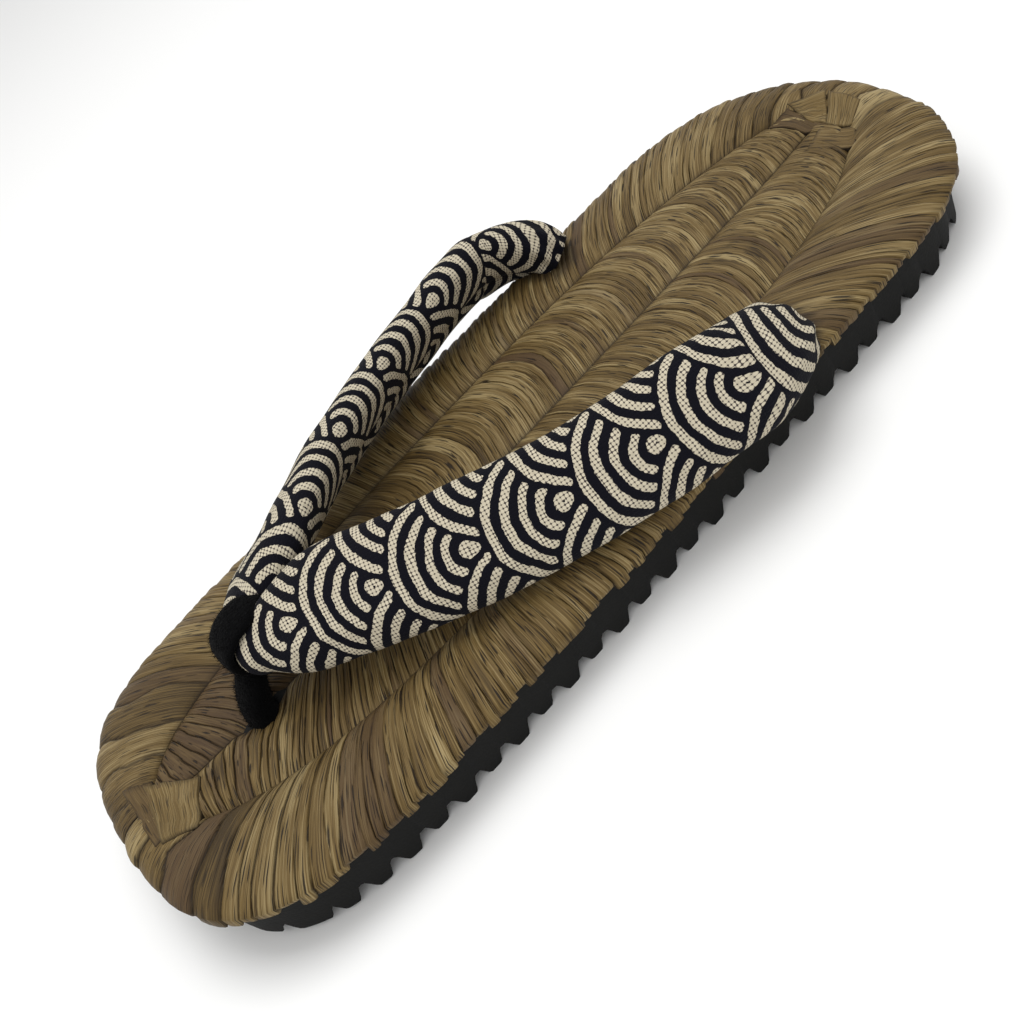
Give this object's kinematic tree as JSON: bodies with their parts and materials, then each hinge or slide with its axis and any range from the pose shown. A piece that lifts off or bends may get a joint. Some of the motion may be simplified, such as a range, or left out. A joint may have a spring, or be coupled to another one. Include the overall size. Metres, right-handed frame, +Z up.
{
  "type": "zori sandal",
  "caption": "Flat thong sandal with a woven plant-strip footbed, a padded patterned V strap, a soft toe thong and a lugged foam sole.",
  "frame": {"origin": "middle of the outline on the floor under the sole", "axes": "+Z up, -Y towards the toe, X across the symmetric shoe"},
  "size_m": [0.1266, 0.26, 0.0439],
  "materials": {
    "outsole": "matte black foam",
    "footbed": "woven olive-brown bamboo sheath",
    "strap_upper": "navy cotton with a cream wave pattern",
    "toe_thong": "black velvet"
  },
  "bodies": {
    "root": {"outsole": "outsole", "footbed": "footbed", "strap_upper": "strap_upper", "toe_thong": "toe_thong"}
  },
  "joints": []
}
